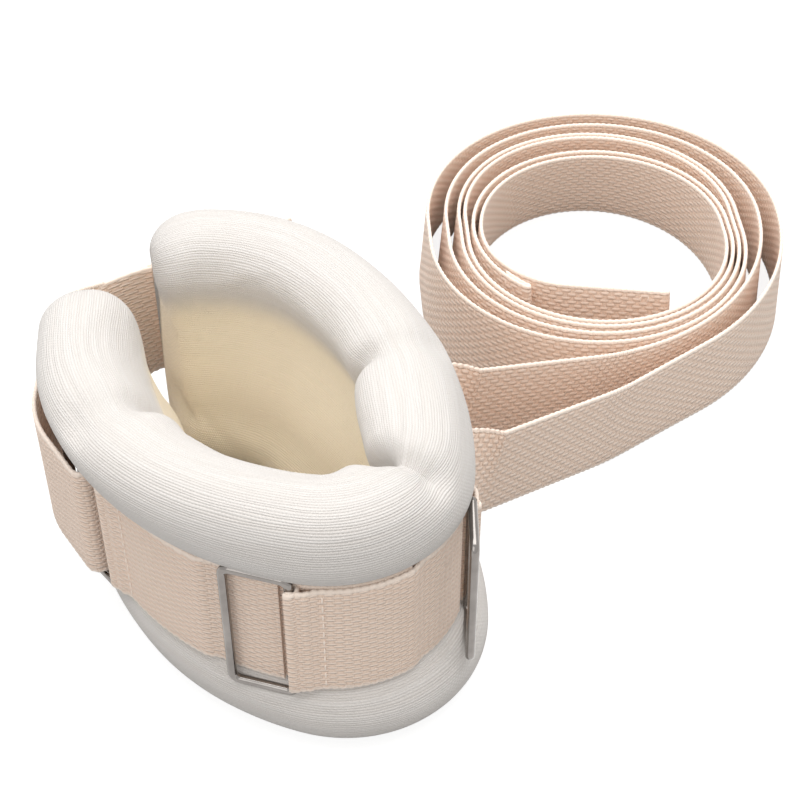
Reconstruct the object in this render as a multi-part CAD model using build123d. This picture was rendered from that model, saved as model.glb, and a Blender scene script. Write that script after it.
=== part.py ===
"""Padded limb cuff with three adjusting rings, a closing strap and two long tie straps.

Millimetres, +Z up.  The cuff stands on its lower roll at z = 0 and its straps stand on edge.
The pad follows a course of tangent arcs seen from above; every webbing layer that is sewn to
the pad follows the same course, further out.  Offsets from the course are positive outwards.
"""

from build123d import *
import math
import os

# ---------------------------------------------------------------- driving dimensions
CENTRE = (3.81, 4.99)
PAD_START = (-126.23 - CENTRE[0], -23.64 - CENTRE[1])  # middle of the pad's first end
PAD_HEADING = -84.0              # direction of the course there, degrees
# radius and turn of each arc of the course
PAD_ARCS = [(215.0, 17.0), (87.0, 53.0), (33.0, 96.0), (112.0, 51.0), (63.0, 42.0), (120.0, 12.4)]
PAD_HEIGHT = 108.0
PAD_HALF = 15.0                  # half the thickness of the top and bottom rolls
WAIST_OUT = 8.5                  # outer face of the pad where the band pulls it in
WAIST_LOW, WAIST_HIGH = 23.5, 84.5
WAIST_SLOPE = 2.5                # height of the slopes at the waist's edges
INNER_ROUND, OUTER_ROUND, LIP_ROUND = 12.0, 9.0, 5.0
COVER = 1.2                      # knitted cover
SEAM_WIDE, SEAM_THICK = 2.4, 1.2
SEAM_IN = 4.0                    # from the waist's outer face in to the middle of a seam
SEAM_SHORT = 14.0                # from the pad's top and bottom to a seam's ends

WEB = 1.6                        # thickness of all webbing
BAND_WIDTH = 50.0
BAND_LOW = 29.0
TIE_WIDTH = 38.0
TIE_LOW = 29.0                   # lower edge of a tie strap where it is sewn to the band

WIRE = 1.6                       # radius of the ring wire
RING_REACH = 22.0                # hinge bar to outer bar, centre to centre
RING_TALL = 56.0                 # lower bar to upper bar, centre to centre
RING_CORNER = 2.9
RUNNING_GAP = 0.06               # webbing loop round the hinge bar
STITCH_LONG, STITCH_THICK, STITCH_PROUD = 2.6, 0.8, 0.45
STITCH_IN = 2.0                  # rows start this far in from the webbing's edges
LOOP_ROWS = (5.0, 8.0)           # rows of stitches, from the hinge along the loop
HEM_ROWS = (2.0, 5.0)            # rows of stitches, from a hem's start
BOX_FROM, TIE_BOX, CLOSING_BOX = 2.5, 12.0, 20.0  # start and length of the sewn boxes
BOX_ALONG, BOX_ACROSS = 4, 7     # stitches along a box's sides and its diagonals

RING_AT = {"a": 141.0, "b": 195.5, "c": 73.0}       # hinge places along the course
RING_OPEN = {"a": -3.5, "b": 12.0, "c": 8.0}       # rest angle, outwards from the band
FOLD_LONG = {"a": 30.0, "b": 12.0, "c": 40.0}       # how far a loop's tail runs back under it
LOOP_GAP = 0.4                   # between a loop's end and the next loop
LAST_LOOP_END = 261.0            # end of loop b along the course
BAND_BEFORE = 4.0                # the band starts this far before ring c's hinge

# ---------------------------------------------------------------- derived sizes
BAND_IN = WAIST_OUT
BAND_OUT = BAND_IN + WEB
BAND_HIGH = BAND_LOW + BAND_WIDTH
BAND_MID = BAND_LOW + BAND_WIDTH / 2
LOOP_HOLE = WIRE + RUNNING_GAP
LOOP_OUTER = LOOP_HOLE + WEB
HINGE_OUT = BAND_OUT + LOOP_OUTER
ONE_LAYER = BAND_OUT + WEB
TWO_LAYERS = BAND_OUT + 2 * WEB


def turned(heading):
    """Unit vector of a heading in degrees."""
    return Vector(math.cos(math.radians(heading)), math.sin(math.radians(heading)))


def right_of(heading):
    """Unit vector to the right of a heading: outwards on the pad's course."""
    return turned(heading - 90)


class Course:
    """A plan line of tangent arcs and straights, which layers follow at an offset."""

    def __init__(self, start, heading, moves):
        self.legs = []
        place, along = Vector(*start), 0.0
        for radius, amount in moves:
            length = amount if radius == 0 else abs(radius) * math.radians(amount)
            self.legs.append((along, length, place, heading, radius))
            place, heading = self.on_leg(self.legs[-1], length, 0)
            along += length
        self.length = along

    @staticmethod
    def on_leg(leg, step, out):
        """Place and heading at a step along one leg; left turns have a positive radius."""
        _, _, place, heading, radius = leg
        if radius == 0:
            return place + turned(heading) * step + right_of(heading) * out, heading
        centre = place - right_of(heading) * radius
        now = heading + math.degrees(step / radius)
        return centre + right_of(now) * (radius + out), now

    def at(self, along, out=0.0):
        """Place and heading at a distance along the course."""
        for leg in self.legs:
            if along <= leg[0] + leg[1] + 1e-6:
                return self.on_leg(leg, along - leg[0], out)
        return self.on_leg(self.legs[-1], along - self.legs[-1][0], out)

    def edges(self, first, last, out, level):
        """The course's edges between two distances, at an offset and a level."""
        found = []
        for leg in self.legs:
            low, high = max(first, leg[0]), min(last, leg[0] + leg[1])
            if high - low < 1e-6:
                continue
            marks = [low, (low + high) / 2, high]
            ends = [self.on_leg(leg, mark - leg[0], out)[0] + Vector(0, 0, level) for mark in marks]
            found.append(Line(ends[0], ends[2]) if leg[4] == 0 else ThreePointArc(*ends))
        return found


def swept(edges, heading, section):
    """A section, drawn as (inwards, up) about the line, carried along plan edges."""
    wire = Wire(edges)
    plane = Plane(origin=wire @ 0, x_dir=-right_of(heading), z_dir=turned(heading))
    return sweep(plane * section, path=wire)


def layer(course, first, last, low_out, high_out, low, high):
    """A flat layer of webbing that follows a course."""
    edges = course.edges(first, last, (low_out + high_out) / 2, (low + high) / 2)
    return swept(edges, course.at(first)[1], Rectangle(high_out - low_out, high - low))


# ---------------------------------------------------------------- pad
pad_course = Course(PAD_START, PAD_HEADING, PAD_ARCS)
PAD_LENGTH = pad_course.length


def pad_section(inset):
    """The pad's section: straight inside, and pulled in at the waist outside."""
    half, waist = PAD_HALF - inset, WAIST_OUT - inset
    low, high = inset, PAD_HEIGHT - inset
    step_low, step_high = WAIST_LOW + inset, WAIST_HIGH - inset
    lip_low, lip_high = step_low - WAIST_SLOPE, step_high + WAIST_SLOPE
    outline = Polyline(
        (half, low), (half, high), (-half, high), (-half, lip_high), (-waist, step_high),
        (-waist, step_low), (-half, lip_low), (-half, low), close=True,
    )
    near = 0.1
    face = make_face(outline)
    face = fillet([v for v in face.vertices() if v.X > 0], INNER_ROUND - inset)
    outside = [v for v in face.vertices() if v.X < -half + near]
    face = fillet([v for v in outside if v.Y < low + near or v.Y > high - near], OUTER_ROUND - inset)
    outside = [v for v in face.vertices() if v.X < -half + near]
    lips = [v for v in outside if min(abs(v.Y - lip_low), abs(v.Y - lip_high)) < near]
    return fillet(lips, LIP_ROUND - inset)


def pad_solid(inset):
    """The pad's body, shorter and slimmer by an inset all round."""
    edges = pad_course.edges(inset, PAD_LENGTH - inset, 0, 0)
    return swept(edges, pad_course.at(inset)[1], pad_section(inset))


foam_core = pad_solid(COVER)
knit_cover = pad_solid(0) - foam_core


def cover_seam(along, facing):
    """The sewn edge that closes the knitted tube at one end of the pad."""
    place, heading = pad_course.at(along, WAIST_OUT - SEAM_IN)
    middle = place + Vector(0, 0, PAD_HEIGHT / 2)
    plane = Plane(origin=middle, x_dir=right_of(heading), z_dir=turned(heading))
    strip = Box(SEAM_WIDE, PAD_HEIGHT - 2 * SEAM_SHORT, SEAM_THICK)
    return plane * Pos(0, 0, facing * SEAM_THICK / 2) * strip


# ---------------------------------------------------------------- band and ring loops
band_start = RING_AT["c"] - BAND_BEFORE
band = layer(pad_course, band_start, PAD_LENGTH, BAND_IN, BAND_OUT, BAND_LOW, BAND_HIGH)

LOOP_ENDS = {"c": RING_AT["a"] - LOOP_OUTER - LOOP_GAP, "a": RING_AT["b"] - LOOP_OUTER - LOOP_GAP,
             "b": LAST_LOOP_END}


def hinge_place(name):
    """Centre of a ring's hinge bar, and the course's heading there."""
    return pad_course.at(RING_AT[name], HINGE_OUT)


def webbing_loop(name):
    """Outer webbing: a loop round a hinge bar, folded back under itself and sewn down."""
    start = RING_AT[name]
    fold_end = start + FOLD_LONG[name]
    folded = layer(pad_course, start, fold_end, BAND_OUT, TWO_LAYERS, BAND_LOW, BAND_HIGH)
    single = layer(pad_course, fold_end, LOOP_ENDS[name], BAND_OUT, ONE_LAYER, BAND_LOW, BAND_HIGH)
    place, _ = hinge_place(name)
    middle = Pos(place.X, place.Y, BAND_MID)
    barrel = middle * Cylinder(LOOP_OUTER, BAND_WIDTH)
    hole = middle * Cylinder(LOOP_HOLE, BAND_WIDTH + 2)
    return folded + single + barrel - hole


def ring(name):
    """A bent wire rectangle; its hinge bar is upright in the webbing loop."""
    place, heading = hinge_place(name)
    outwards = turned(heading + 180 + RING_OPEN[name])
    middle = place + Vector(0, 0, BAND_MID)
    plane = Plane(origin=middle, x_dir=outwards, z_dir=outwards.cross(Vector(0, 0, 1)))
    frame = plane * Pos(RING_REACH / 2, 0) * RectangleRounded(RING_REACH, RING_TALL, RING_CORNER)
    path = frame.wires()[0]
    start = Plane(origin=path @ 0, z_dir=path % 0)
    return sweep(start * Circle(WIRE), path=path)


# ---------------------------------------------------------------- closing strap
STRAP_IN = BAND_OUT + WEB / 2
CLOSING_SEWN = 26.0
TURN_GAP = 1.9                                    # play between ring wire and strap
TURN_RADIUS = WIRE + TURN_GAP + WEB / 2
TURN_SLACK = 9.5                                  # from the ring's outer bar in to the turn's centre
# corners of the closing strap's run, measured from the pad's first end
INNER_CORNERS = [(-13.3, 20.6), (-6.8, -32.4)]
LEAVING_RUN = 8.0                                 # straight on past the sewn end before the first bend
OUTER_CORNERS = [(-18.8, -42.4), (-15.3, 29.6), (72.1, 61.6)]
INNER_BENDS, OUTER_BENDS = [22, 24, 120], [40, 22]  # radii at those corners


def on_ring(name, reach=RING_REACH):
    """Place on a ring at rest, at a distance from its hinge bar: the outer bar's, unless given."""
    place, heading = hinge_place(name)
    return place + turned(heading + 180 + RING_OPEN[name]) * reach


def tangent_heading(bar, corner, side):
    """Heading of a line from a corner that grazes the turn round a bar, on one side of it."""
    across = Vector(bar.X - corner.X, bar.Y - corner.Y)
    toward = math.degrees(math.atan2(across.Y, across.X))
    return toward + side * math.degrees(math.asin(TURN_RADIUS / across.length))


def closing_edges():
    """Sewn end, across the gap, round the pad's end, through ring c and back outside."""
    sewn = pad_course.edges(PAD_LENGTH - CLOSING_SEWN, PAD_LENGTH, STRAP_IN, BAND_MID)
    level = Vector(*PAD_START, BAND_MID)
    leave, heading = pad_course.at(PAD_LENGTH, STRAP_IN)
    leave += Vector(0, 0, BAND_MID)
    inner_corners = [leave + turned(heading) * LEAVING_RUN]
    inner_corners += [level + Vector(*corner) for corner in INNER_CORNERS]
    outer_corners = [level + Vector(*corner) for corner in OUTER_CORNERS]
    bar = on_ring("c", RING_REACH - TURN_SLACK) + Vector(0, 0, BAND_MID)
    going = tangent_heading(bar, inner_corners[-1], 1)
    back = tangent_heading(bar, outer_corners[0], -1) + 180
    turn_in, turn_tip, turn_out = [
        bar - right_of(heading) * TURN_RADIUS for heading in (going, (going + back) / 2 - 180, back)
    ]
    inner = FilletPolyline(leave, *inner_corners, turn_in, radius=INNER_BENDS)
    outer = FilletPolyline(turn_out, *outer_corners, radius=OUTER_BENDS)
    turn = ThreePointArc(turn_in, turn_tip, turn_out)
    return sewn + list(inner.edges()) + [turn] + list(outer.edges())


closing_line = closing_edges()
closing_heading = pad_course.at(PAD_LENGTH - CLOSING_SEWN)[1]
closing_strap = swept(closing_line, closing_heading, Rectangle(WEB, BAND_WIDTH))
closing_length = sum(edge.length for edge in closing_line)

# ---------------------------------------------------------------- tie straps
TIE_IN = ONE_LAYER + WEB / 2
TIE_SEWN = 17.0
FRONT_SEWN_AT, BACK_SEWN_AT = 209.5, 240.0
HEM_LONG = 12.0
DROP_RUN = 62.0                                   # plan length of the slope down to the floor

# each strap's heading on its way to the coil, its bend off the cuff, and where it passes the
# coil's right and left sides, turn after turn
TIE_RUNS = {
    "front": {"heading": 33.0, "bend": 22.0,
              "rights": (152.1, 134.4, 129.2), "lefts": (2.6, 15.9, 21.4)},
    "back": {"heading": 17.5, "bend": 18.0,
             "rights": (143.6, 131.8, 126.6), "lefts": (10.4, 18.6, 24.6)},
}
TIE_ENDS = {"front": [(50.0, 50.0)], "back": [(38.0, 80.0), (0, 40.0)]}
COIL_LEVEL = 86.0 - CENTRE[1]                     # where the coil's far half begins, along Y
SIDE_RUN, LAST_RUN = 15.5, {"front": 7.5, "back": 6.5}


def coil_moves(name):
    """The coil's half turns, with short straights at its sides, and the strap's end."""
    rights = [side - CENTRE[0] for side in TIE_RUNS[name]["rights"]]
    lefts = [side - CENTRE[0] for side in TIE_RUNS[name]["lefts"]]
    moves = []
    for turn in range(len(rights)):
        moves.append(((rights[turn] - lefts[turn]) / 2, 180.0))
        if turn + 1 < len(rights):
            moves += [(0, SIDE_RUN), ((rights[turn + 1] - lefts[turn]) / 2, 180.0)]
            moves.append((0, SIDE_RUN if turn == 0 else LAST_RUN[name]))
    return moves + TIE_ENDS[name]


def run_to_coil(place, heading, side):
    """Length of the straight, and radius of the turn, that lead to the coil's right side."""
    cos, sin = math.cos(math.radians(heading)), math.sin(math.radians(heading))
    across, ahead = side - place.X, COIL_LEVEL - place.Y
    radius = (ahead * cos - across * sin) / (cos * cos - sin * (1 - sin))
    return (across - radius * (1 - sin)) / cos, radius


def slope_down(place, heading):
    """The straight stretch in which a tie strap comes down from the band to the floor."""
    end = place + turned(heading) * DROP_RUN
    side = right_of(heading) * (WEB / 2)
    outline = Polyline(
        place - side + Vector(0, 0, TIE_LOW), end - side, end - side + Vector(0, 0, TIE_WIDTH),
        place - side + Vector(0, 0, TIE_LOW + TIE_WIDTH), close=True,
    )
    return extrude(make_face(outline), amount=WEB, dir=right_of(heading)), end


def tie_strap(name, sewn_at):
    """One tie strap: sewn end, bend away from the cuff, slope to the floor, coil and hem."""
    high, run = TIE_LOW + TIE_WIDTH, TIE_RUNS[name]
    sewn = layer(pad_course, sewn_at, sewn_at + TIE_SEWN, ONE_LAYER, ONE_LAYER + WEB, TIE_LOW, high)
    place, heading = pad_course.at(sewn_at + TIE_SEWN, TIE_IN)
    bend = Course((place.X, place.Y), heading, [(-run["bend"], heading - run["heading"])])
    leaving = layer(bend, 0, bend.length, -WEB / 2, WEB / 2, TIE_LOW, high)
    place, heading = bend.at(bend.length)
    straight, radius = run_to_coil(place, heading, run["rights"][0] - CENTRE[0])
    slope, foot = slope_down(place, heading)
    moves = [(0, straight - DROP_RUN), (radius, 90 - heading)] + coil_moves(name)
    coil = Course((foot.X, foot.Y), heading, moves)
    flat = layer(coil, 0, coil.length, -WEB / 2, WEB / 2, 0, TIE_WIDTH)
    hem = layer(coil, coil.length - HEM_LONG, coil.length, -WEB * 1.5, -WEB / 2, 0, TIE_WIDTH)
    total = TIE_SEWN + bend.length + math.hypot(DROP_RUN, TIE_LOW) + coil.length
    return sewn + leaving + slope + flat + hem, total, coil


tie_front, front_length, front_coil = tie_strap("front", FRONT_SEWN_AT)
tie_back, back_length, back_coil = tie_strap("back", BACK_SEWN_AT)


# ---------------------------------------------------------------- stitching
def thread(course, along, out, level, upright=True, tilt=0.0):
    """One stitch lying on a webbing face."""
    place, heading = course.at(along, out + STITCH_PROUD / 2)
    plane = Plane(origin=place + Vector(0, 0, level), x_dir=turned(heading), z_dir=right_of(heading))
    turn = 90 if upright else tilt
    return plane * Rot(0, 0, turn) * Box(STITCH_LONG, STITCH_THICK, STITCH_PROUD)


def upright_rows(course, places, out, low, high):
    """Rows of stitches that run up the webbing at each place along it."""
    tall = high - low - 2 * STITCH_IN
    count = int(tall // (STITCH_LONG * 1.5))
    return [thread(course, along, out, low + STITCH_IN + tall / count * (step + 0.5))
            for along in places for step in range(count)]


def box_and_cross(course, along, long, out, low, high):
    """A sewn rectangle with a cross in it."""
    found = upright_rows(course, [along, along + long], out, low, high)
    bottom, top = low + STITCH_IN, high - STITCH_IN
    for step in range(1, BOX_ALONG):
        spot = along + long * step / BOX_ALONG
        found += [thread(course, spot, out, level, False) for level in (bottom, top)]
    angle = math.degrees(math.atan2(top - bottom, long))
    for step in range(1, BOX_ACROSS):
        share = step / BOX_ACROSS
        level = bottom + (top - bottom) * share
        found.append(thread(course, along + long * share, out, level, False, angle))
        found.append(thread(course, along + long * (1 - share), out, level, False, -angle))
    return found


def hem_rows(course, out, low, high):
    """Two rows of stitches across a folded strap end."""
    start = course.length - HEM_LONG
    return upright_rows(course, [start + row for row in HEM_ROWS], out, low, high)


def loop_rows(name):
    """Two rows of stitches beside a ring's hinge bar."""
    places = [RING_AT[name] + row for row in LOOP_ROWS]
    return upright_rows(pad_course, places, TWO_LAYERS, BAND_LOW, BAND_HIGH)


def tie_box(sewn_at):
    """The sewn box that holds a tie strap on the band."""
    high = TIE_LOW + TIE_WIDTH
    return box_and_cross(pad_course, sewn_at + BOX_FROM, TIE_BOX, ONE_LAYER + WEB, TIE_LOW, high)


closing_box_at = PAD_LENGTH - CLOSING_SEWN + BOX_FROM
stitches = {
    "tie_front_stitches": tie_box(FRONT_SEWN_AT),
    "tie_back_stitches": tie_box(BACK_SEWN_AT),
    "closing_stitches": box_and_cross(
        pad_course, closing_box_at, CLOSING_BOX, ONE_LAYER, BAND_LOW, BAND_HIGH
    ),
    "hem_front_stitches": hem_rows(front_coil, WEB / 2, 0, TIE_WIDTH),
    "hem_back_stitches": hem_rows(back_coil, WEB / 2, 0, TIE_WIDTH),
}

# ---------------------------------------------------------------- nodes
nodes = {
    "foam_core": foam_core,
    "knit_cover": knit_cover,
    "cover_seam_first": cover_seam(0, -1),
    "cover_seam_last": cover_seam(PAD_LENGTH, 1),
    "band": band,
    "closing_strap": closing_strap,
    "tie_strap_front": tie_front,
    "tie_strap_back": tie_back,
}
for name in RING_AT:
    nodes[f"webbing_loop_{name}"] = webbing_loop(name)
    nodes[f"ring_{name}"] = ring(name)
    stitches[f"loop_{name}_stitches"] = loop_rows(name)
for name, threads in stitches.items():
    nodes[name] = Compound(threads)

os.makedirs("parts", exist_ok=True)
for name, shape in nodes.items():
    shape.label = name
    export_step(shape, f"parts/{name}.step")

whole = Compound([shape for shape in nodes.values()]).bounding_box()
print("box", whole.min, whole.max)
print("closing strap length", round(closing_length, 1), "of", BAND_WIDTH, "mm webbing")
print("tie strap lengths", round(front_length, 1), round(back_length, 1), "of", TIE_WIDTH, "mm webbing")
print("closing strap volume share", closing_strap.volume / (closing_length * WEB * BAND_WIDTH))
for name in RING_AT:
    place, heading = hinge_place(name)
    bar = on_ring(name)
    print("hinge", name, round(place.X, 3), round(place.Y, 3), "heading", round(heading, 2))
    print("outer bar", name, round(bar.X, 2), round(bar.Y, 2))
for title, course in (("front", front_coil), ("back", back_coil)):
    place, heading = course.at(course.length)
    print("tie end", title, round(place.X, 2), round(place.Y, 2), "heading", round(heading, 1))
    print("radii", [round(leg[4], 1) for leg in course.legs])
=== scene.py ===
"""Looks of a padded limb cuff with three wire rings, a closing strap and two long tie straps.

Plan lines and offsets are in millimetres and follow the CAD part; meshes are made in metres.
"""

import math

import bmesh
import bpy
import numpy as np
from bpy.props import FloatProperty, FloatVectorProperty, PointerProperty
from mathutils import Matrix, Vector


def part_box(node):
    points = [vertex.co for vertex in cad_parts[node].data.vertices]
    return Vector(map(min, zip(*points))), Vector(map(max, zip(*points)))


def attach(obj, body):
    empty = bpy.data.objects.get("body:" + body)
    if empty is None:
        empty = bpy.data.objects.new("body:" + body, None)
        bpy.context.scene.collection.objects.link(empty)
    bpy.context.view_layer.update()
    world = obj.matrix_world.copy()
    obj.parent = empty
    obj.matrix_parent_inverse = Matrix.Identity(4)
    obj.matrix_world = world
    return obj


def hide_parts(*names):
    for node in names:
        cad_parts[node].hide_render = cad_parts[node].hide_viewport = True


bl_info = {
    "name": "Limb cuff",
    "version": (1, 0, 0),
    "blender": (4, 5, 0),
    "location": "3D View > Sidebar > Limb cuff",
    "description": "Builds a padded limb cuff with its rings, straps and stitching",
    "category": "Object",
}

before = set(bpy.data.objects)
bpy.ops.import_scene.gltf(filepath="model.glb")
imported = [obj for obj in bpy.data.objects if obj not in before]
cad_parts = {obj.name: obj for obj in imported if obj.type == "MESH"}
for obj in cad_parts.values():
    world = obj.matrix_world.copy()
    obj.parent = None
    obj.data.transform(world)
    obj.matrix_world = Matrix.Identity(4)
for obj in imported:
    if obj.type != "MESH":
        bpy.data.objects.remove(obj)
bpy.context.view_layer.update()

MM = 0.001
ROOT = "cuff"

# ------------------------------------------------------------------ the cuff's course
CENTRE = (3.81, 4.99)             # the whole part's middle, seen from above
PAD_START = (-126.23 - CENTRE[0], -23.64 - CENTRE[1])  # middle of the pad's first end
PAD_HEADING = -84.0
# radius and turn of each arc
PAD_ARCS = [(215.0, 17.0), (87.0, 53.0), (33.0, 96.0), (112.0, 51.0), (63.0, 42.0), (120.0, 12.4)]
WEB = 1.6                         # room that one layer of webbing takes
WAIST_OUT = 8.5
BAND_LAYER = WAIST_OUT + WEB / 2  # middles of the layers, outwards from the course
FIRST_LAYER = BAND_LAYER + WEB
SECOND_LAYER = FIRST_LAYER + WEB
BAND_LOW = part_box("band")[0].z / MM
BAND_WIDTH = (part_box("band")[1].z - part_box("band")[0].z) / MM
BAND_START = 69.0
TIE_WIDTH = 38.0
TIE_LOW = 29.0
WIRE = 1.6
HINGE_GAP = 0.86                  # hinge bar's surface to the middle of the webbing round it
RING_AT = {"a": 141.0, "b": 195.5, "c": 73.0}
RING_OPEN = {"a": -3.5, "b": 12.0, "c": 8.0}
RING_REACH = 22.0
FOLD_ENDS = {"c": 113.0, "a": 171.0, "b": 207.5}
LOOP_ENDS = {"c": 137.34, "a": 191.84, "b": 261.0}
HINGE_OUT = BAND_LAYER + WEB / 2 + WIRE + HINGE_GAP + WEB / 2

CLOSING_SEWN = 26.0
CLOSING_LEAVE = 8.0
INNER_CORNERS = [(-13.3, 20.6), (-6.8, -32.4)]
OUTER_CORNERS = [(-18.8, -42.4), (-15.3, 29.6), (72.1, 61.6)]
INNER_BENDS, OUTER_BENDS = [22, 24, 120], [40, 22]
TURN_RADIUS = WIRE + 1.9 + WEB / 2
TURN_SLACK = 9.5
# sags of the strap: distance along, half width, drop
CLOSING_SAGS = [(54.0, 24.0, 12.0), (275.0, 38.0, 7.0)]

TIE_SEWN = 17.0
SEWN_AT = {"front": 209.5, "back": 240.0}
COIL_LEVEL = 86.0 - CENTRE[1]     # where the coil's far half begins, along Y
SIDE_RUN = 15.5
LAST_RUN = {"front": 7.5, "back": 6.5}
TIE_HEADING = {"front": 33.0, "back": 17.5}
TIE_BEND = {"front": 22.0, "back": 18.0}
# where each strap passes the coil's right and left sides, turn after turn
TIE_RIGHTS = {"front": (152.1, 134.4, 129.2), "back": (143.6, 131.8, 126.6)}
TIE_LEFTS = {"front": (2.6, 15.9, 21.4), "back": (10.4, 18.6, 24.6)}
TIE_ENDS = {"front": [(50.0, 50.0)], "back": [(38.0, 80.0), (0, 40.0)]}
TIE_BENT, TIE_DROP = 14.0, 66.0   # the foot's height at the bend, and its way down to the floor
HEM_LONG = 12.0


def turned(heading):
    """Unit vector of a heading in degrees, seen from above."""
    return Vector((math.cos(math.radians(heading)), math.sin(math.radians(heading))))


def right_of(heading):
    """Unit vector to the right of a heading: outwards on the pad's course."""
    return turned(heading - 90)


def smooth(value):
    """Zero below 0, one above 1, with a soft start and end."""
    share = np.clip(value, 0.0, 1.0)
    return share * share * (3 - 2 * share)


def hump(distance, width):
    """One at no distance, falling to nothing beyond about twice the width."""
    return np.exp(-((distance / width) ** 2))


class Course:
    """A plan line of tangent arcs (radius, degrees to the left) and straights (0, length)."""

    def __init__(self, start, heading, moves):
        self.legs, self.length = [], 0.0
        place = Vector(start)
        for radius, amount in moves:
            length = amount if radius == 0 else abs(radius) * math.radians(amount)
            self.legs.append((self.length, length, place, heading, radius))
            place, heading = self.on_leg(self.legs[-1], length, 0)
            self.length += length

    @staticmethod
    def on_leg(leg, step, out):
        """Place and heading at a step along one leg."""
        _, _, place, heading, radius = leg
        if radius == 0:
            return place + turned(heading) * step + right_of(heading) * out, heading
        centre = place - right_of(heading) * radius
        now = heading + math.degrees(step / radius)
        return centre + right_of(now) * (radius + out), now

    def at(self, along, out=0.0):
        """Place and heading at a distance along the course, at an offset to its right."""
        for leg in self.legs:
            if along <= leg[0] + leg[1]:
                return self.on_leg(leg, along - leg[0], out)
        return self.on_leg(self.legs[-1], along - self.legs[-1][0], out)

    def points(self, first, last, out=0.0, step=1.0):
        """Places between two distances; out may be a function of the distance."""
        marks = np.linspace(first, last, max(2, int(abs(last - first) / step) + 1))
        return [self.at(mark, out(mark) if callable(out) else out)[0] for mark in marks]


PAD = Course(PAD_START, PAD_HEADING, PAD_ARCS)


def cuff_settings():
    """The scene's sizes and colours."""
    return bpy.context.scene.cuff_settings


def rounded_line(corners, radii):
    """Points along straight runs whose corners are rounded off with arcs."""
    found = [corners[0]]
    for before, corner, after, radius in zip(corners, corners[1:], corners[2:], radii):
        into, away = (corner - before).normalized(), (after - corner).normalized()
        turn = math.atan2(into.cross(away), into.dot(away))
        reach = radius * math.tan(abs(turn) / 2)
        start = corner - into * reach
        bend = Course(start, math.degrees(math.atan2(into.y, into.x)),
                      [(math.copysign(radius, turn), abs(math.degrees(turn)))])
        found += straight(found[-1], start)[1:] + bend.points(0, bend.length)[1:]
    return found + straight(found[-1], corners[-1])[1:]


def straight(start, end):
    """Points about a millimetre apart along a straight run."""
    count = max(1, int((end - start).length))
    return [start.lerp(end, share / count) for share in range(count + 1)]


# ------------------------------------------------------------------ meshes
CRISP_ANGLE = 50.0                # edges that turn by more stay crisp


def grid_object(name, verts, marks, around, closed_ends):
    """Rings of points joined into a closed tube; marks has one extra column for the seam.

    verts is rings x around x 3, marks is rings x (around + 1) x 2.
    closed_ends says how an end is filled: 'face' or 'ladder'.
    """
    rings = verts.shape[0]
    index = np.arange(rings * around).reshape(rings, around)
    after = np.roll(index, -1, axis=1)
    faces = np.stack([index[:-1], after[:-1], after[1:], index[1:]], axis=-1).reshape(-1, 4)
    corner = np.stack([marks[:-1, :-1], marks[:-1, 1:], marks[1:, 1:], marks[1:, :-1]], axis=2)
    faces, corner = [list(f) for f in faces], [list(c) for c in corner.reshape(-1, 4, 2)]
    for ring, flip in ((0, True), (rings - 1, False)):
        for patch in end_patches(around, closed_ends):
            patch = patch[::-1] if flip else patch
            faces.append([int(index[ring, i % around]) for i in patch])
            corner.append([marks[ring, i] for i in patch])
    mesh = bpy.data.meshes.new(name)
    mesh.from_pydata((verts.reshape(-1, 3) * MM).tolist(), [], faces)
    layer = mesh.uv_layers.new(name="weave")
    layer.data.foreach_set("uv", np.array([c for face in corner for c in face], float).ravel())
    mesh.update()
    piece = bpy.data.objects.new(name, mesh)
    bpy.context.collection.objects.link(piece)
    outwards(piece)
    shade(piece)
    return piece


def end_patches(around, closed_ends):
    """Faces that fill the ring at an end, as places round it."""
    if closed_ends == "face":
        return [list(range(around))]
    half, patches = around // 2, []
    for step in range(around // 4):
        low, high = half - step - 1, half - step
        patches.append([step, step + 1, low, high])
        patches.append([half + step, half + step + 1, around - step - 1, around - step])
    return patches


def outwards(piece):
    """Turns every face of a closed mesh outwards."""
    shell = bmesh.new()
    shell.from_mesh(piece.data)
    bmesh.ops.recalc_face_normals(shell, faces=shell.faces)
    shell.to_mesh(piece.data)
    shell.free()


def shade(piece):
    """Smooth shading, kept crisp at sharp edges."""
    piece.data.shade_smooth()
    edges = bmesh.new()
    edges.from_mesh(piece.data)
    limit = math.radians(CRISP_ANGLE)
    for edge in edges.edges:
        edge.smooth = edge.calc_face_angle(0.0) < limit
    edges.to_mesh(piece.data)
    edges.free()


def finish_piece(piece, material, replaces):
    """Gives a piece its finish and its body, and hides the CAD nodes it stands for."""
    piece.data.materials.clear()
    piece.data.materials.append(material)
    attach(piece, ROOT)
    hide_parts(*replaces)


# ------------------------------------------------------------------ webbing
FACE_STEPS = 10                   # points across a webbing face
EDGE_STEPS = 4                    # points round each edge
SELVEDGE_STEP = 0.66              # a quarter of an edge loop, so that the loops show
SELVEDGE_LOOP = 2.65
SELVEDGE_PROUD = 0.16


def stations(points, foot=0.0, lean=0.0):
    """Rows of x, y, heading, foot and lean; foot and lean may be functions of the distance."""
    places = np.array([tuple(p) for p in points], float)
    keep = np.r_[True, np.hypot(*np.diff(places, axis=0).T) > 1e-4]
    places = places[keep]
    way = np.gradient(places, axis=0)
    heading = np.degrees(np.unwrap(np.arctan2(way[:, 1], way[:, 0])))
    along = np.r_[0, np.cumsum(np.hypot(*np.diff(places, axis=0).T))]
    foot = foot(along) if callable(foot) else np.full(len(along), foot)
    lean = lean(along, heading) if callable(lean) else np.full(len(along), lean)
    return np.column_stack([places, heading, foot, lean])


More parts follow.
